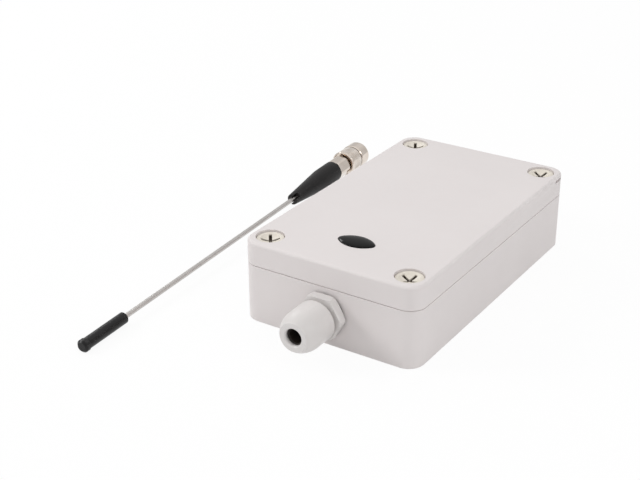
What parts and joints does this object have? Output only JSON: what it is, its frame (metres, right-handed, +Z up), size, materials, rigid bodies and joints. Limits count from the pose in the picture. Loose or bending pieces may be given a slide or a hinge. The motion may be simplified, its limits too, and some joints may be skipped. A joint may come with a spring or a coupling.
{
  "type": "wireless relay receiver",
  "caption": "Grey plastic wall box with a screwed lid, cable gland and antenna socket, a relay board inside, and a whip antenna with a bayonet plug lying beside it.",
  "frame": {"origin": "centre of the enclosure's flat underside", "axes": "+Z up out of the lid, -Y out of the cable gland, +Y out of the antenna socket, +X to the right seen from the gland"},
  "size_m": [0.1472, 0.2464, 0.0407],
  "materials": {
    "housing_plastic": "moulded ABS, fine satin texture",
    "gland_plastic": "moulded polyamide, smooth satin",
    "screw_plastic": "moulded polyamide, cream",
    "badge_black": "glossy black, bare",
    "seal_rubber": "soft black rubber",
    "boot_rubber": "moulded black rubber, satin",
    "cap_black": "smooth black plastic",
    "nickel": "nickel plate",
    "rod_steel": "drawn steel, satin",
    "insulator_white": "fluoropolymer",
    "contact_gold": "gold plated brass",
    "lead_jacket": "black cable jacket",
    "tinned_metal": "tinned",
    "board_green": "glass epoxy with solder mask",
    "zinc_screws": "zinc plated",
    "terminal_green": "moulded polyamide, green",
    "relay_blue": "moulded case, blue",
    "fuse_glass": "clear glass tube",
    "varistor_blue": "dipped epoxy",
    "part_black": "moulded epoxy",
    "sleeve_black": "shrink sleeve on an aluminium can",
    "film_red": "dipped film capacitor box",
    "resistor_tan": "lacquered film resistor",
    "plunger_red": "moulded plunger",
    "light_red": "tinted lens"
  },
  "bodies": {
    "base": {"base_housing": "housing_plastic", "gland_body": "gland_plastic", "gland_locknut": "gland_plastic", "gland_gasket": "seal_rubber", "gland_seal": "seal_rubber", "socket_body": "nickel", "socket_nut": "nickel", "socket_ground_tag": "nickel", "socket_insulator": "insulator_white", "socket_contact": "contact_gold", "antenna_lead": "lead_jacket", "lead_clamp": "tinned_metal", "fuse_clips": "tinned_metal", "fuse_caps": "tinned_metal", "module_shield": "tinned_metal", "tuning_coil": "tinned_metal", "module_crystal": "tinned_metal", "wire_cages": "tinned_metal", "main_board": "board_green", "module_board": "board_green", "board_screws": "zinc_screws", "terminal_screws": "zinc_screws", "supply_terminal": "terminal_green", "output_terminal": "terminal_green", "relay": "relay_blue", "fuse_tube": "fuse_glass", "varistor": "varistor_blue", "bridge_rectifier": "part_black", "voltage_regulator": "part_black", "controller_chip": "part_black", "driver_transistor": "part_black", "coil_diode": "part_black", "module_pin_strips": "part_black", "chip_socket": "part_black", "button_case": "part_black", "smoothing_capacitor": "sleeve_black", "film_capacitors": "film_red", "resistors": "resistor_tan", "status_light": "light_red"},
    "lid": {"lid_shell": "housing_plastic", "lid_gasket": "seal_rubber", "lid_badge": "badge_black"},
    "gland_cap": {"gland_cap_nut": "gland_plastic"},
    "learn_button": {"button_plunger": "plunger_red"},
    "antenna": {"antenna_rod": "rod_steel", "antenna_tip_cap": "cap_black", "antenna_boot": "boot_rubber", "plug_body": "nickel", "plug_gasket": "seal_rubber", "plug_insulator": "insulator_white", "plug_pin": "contact_gold", "plug_ferrule": "nickel"},
    "plug_collar": {"plug_nut": "nickel"},
    "screw_front_left": {"lid_screw_front_left": "screw_plastic"},
    "screw_front_right": {"lid_screw_front_right": "screw_plastic"},
    "screw_rear_left": {"lid_screw_rear_left": "screw_plastic"},
    "screw_rear_right": {"lid_screw_rear_right": "screw_plastic"}
  },
  "joints": [
    {"name": "lid_lift", "type": "slide", "parent": "base", "child": "lid", "axis": [0, 0, 1], "range_m": [0, 0.06]},
    {"name": "lid_screw_front_left_turn", "type": "hinge", "parent": "lid", "child": "screw_front_left", "pos_m": [-0.0356, -0.06585, 0.0352], "axis": [0, 0, 1], "continuous": true},
    {"name": "lid_screw_front_right_turn", "type": "hinge", "parent": "lid", "child": "screw_front_right", "pos_m": [0.0356, -0.06585, 0.0352], "axis": [0, 0, 1], "continuous": true},
    {"name": "lid_screw_rear_left_turn", "type": "hinge", "parent": "lid", "child": "screw_rear_left", "pos_m": [-0.0356, 0.06585, 0.0352], "axis": [0, 0, 1], "continuous": true},
    {"name": "lid_screw_rear_right_turn", "type": "hinge", "parent": "lid", "child": "screw_rear_right", "pos_m": [0.0356, 0.06585, 0.0352], "axis": [0, 0, 1], "continuous": true},
    {"name": "gland_cap_turn", "type": "hinge", "parent": "base", "child": "gland_cap", "pos_m": [0, -0.09075, 0.0156], "axis": [0, -1, 0], "continuous": true},
    {"name": "learn_button_press", "type": "slide", "parent": "base", "child": "learn_button", "axis": [0, 0, -1], "range_m": [0, 0.00025], "stiffness_N_per_m": 1500, "springref_m": -0.0004},
    {"name": "antenna_pickup", "type": "slide", "parent": "base", "child": "antenna", "axis": [0, 0, 1], "range_m": [0, 0.1]},
    {"name": "plug_collar_turn", "type": "hinge", "parent": "antenna", "child": "plug_collar", "pos_m": [-0.0952, 0.10665, 0.00742], "axis": [0.0412, -0.999, -0.0176], "continuous": true}
  ]
}
